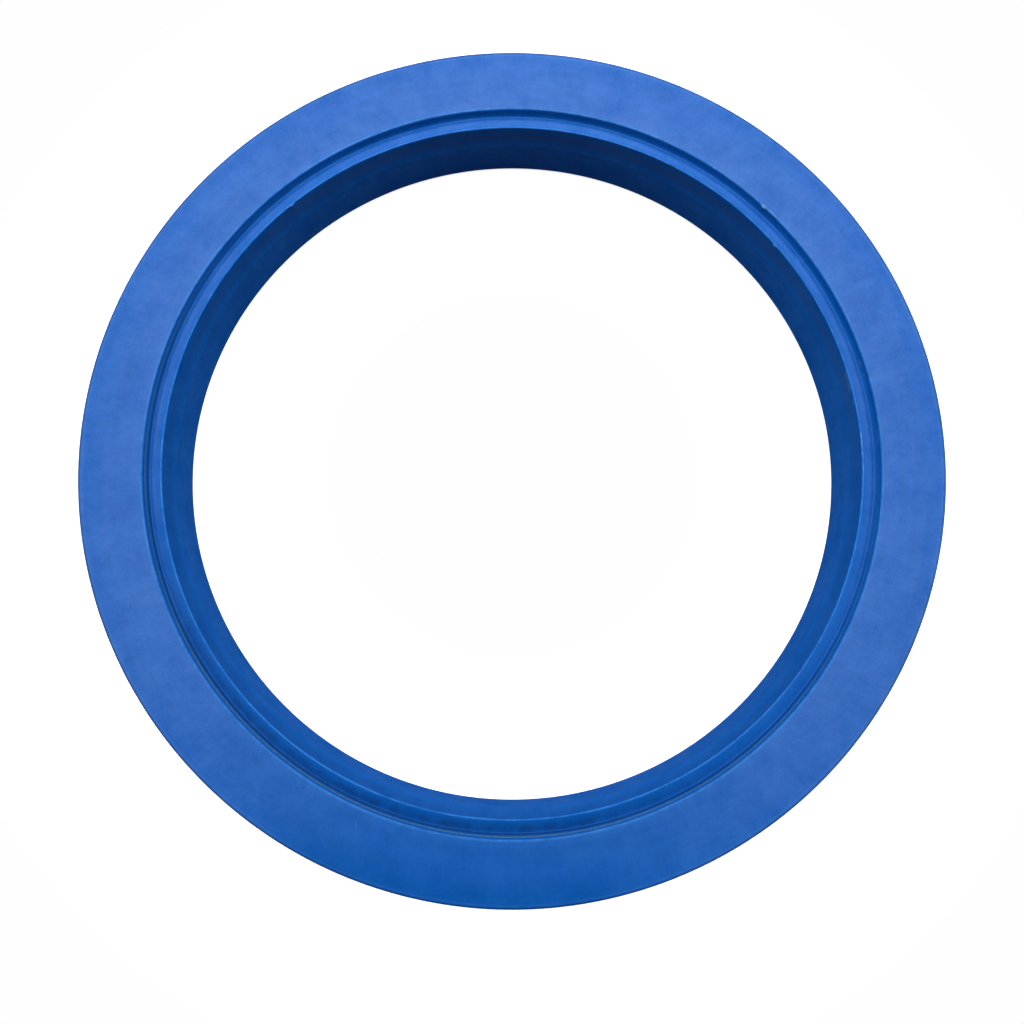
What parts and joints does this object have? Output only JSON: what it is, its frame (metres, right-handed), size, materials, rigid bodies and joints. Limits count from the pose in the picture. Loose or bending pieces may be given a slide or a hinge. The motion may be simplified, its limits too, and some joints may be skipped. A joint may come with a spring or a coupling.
{
  "type": "crankshaft seal",
  "caption": "Flat blue elastomer shaft seal ring: a round bore, a raised sharp sealing lip freed by a shallow groove, and a broad flat front face.",
  "frame": {"origin": "centre of the flat back face, which the ring lies on", "axes": "+Z along the shaft axis, out of the lip side; X and Y are free, as the ring is round"},
  "size_m": [0.1, 0.1, 0.01],
  "materials": {
    "blue_elastomer": "matte, fine turned surface"
  },
  "bodies": {
    "root": {"seal_ring": "blue_elastomer"}
  },
  "joints": []
}
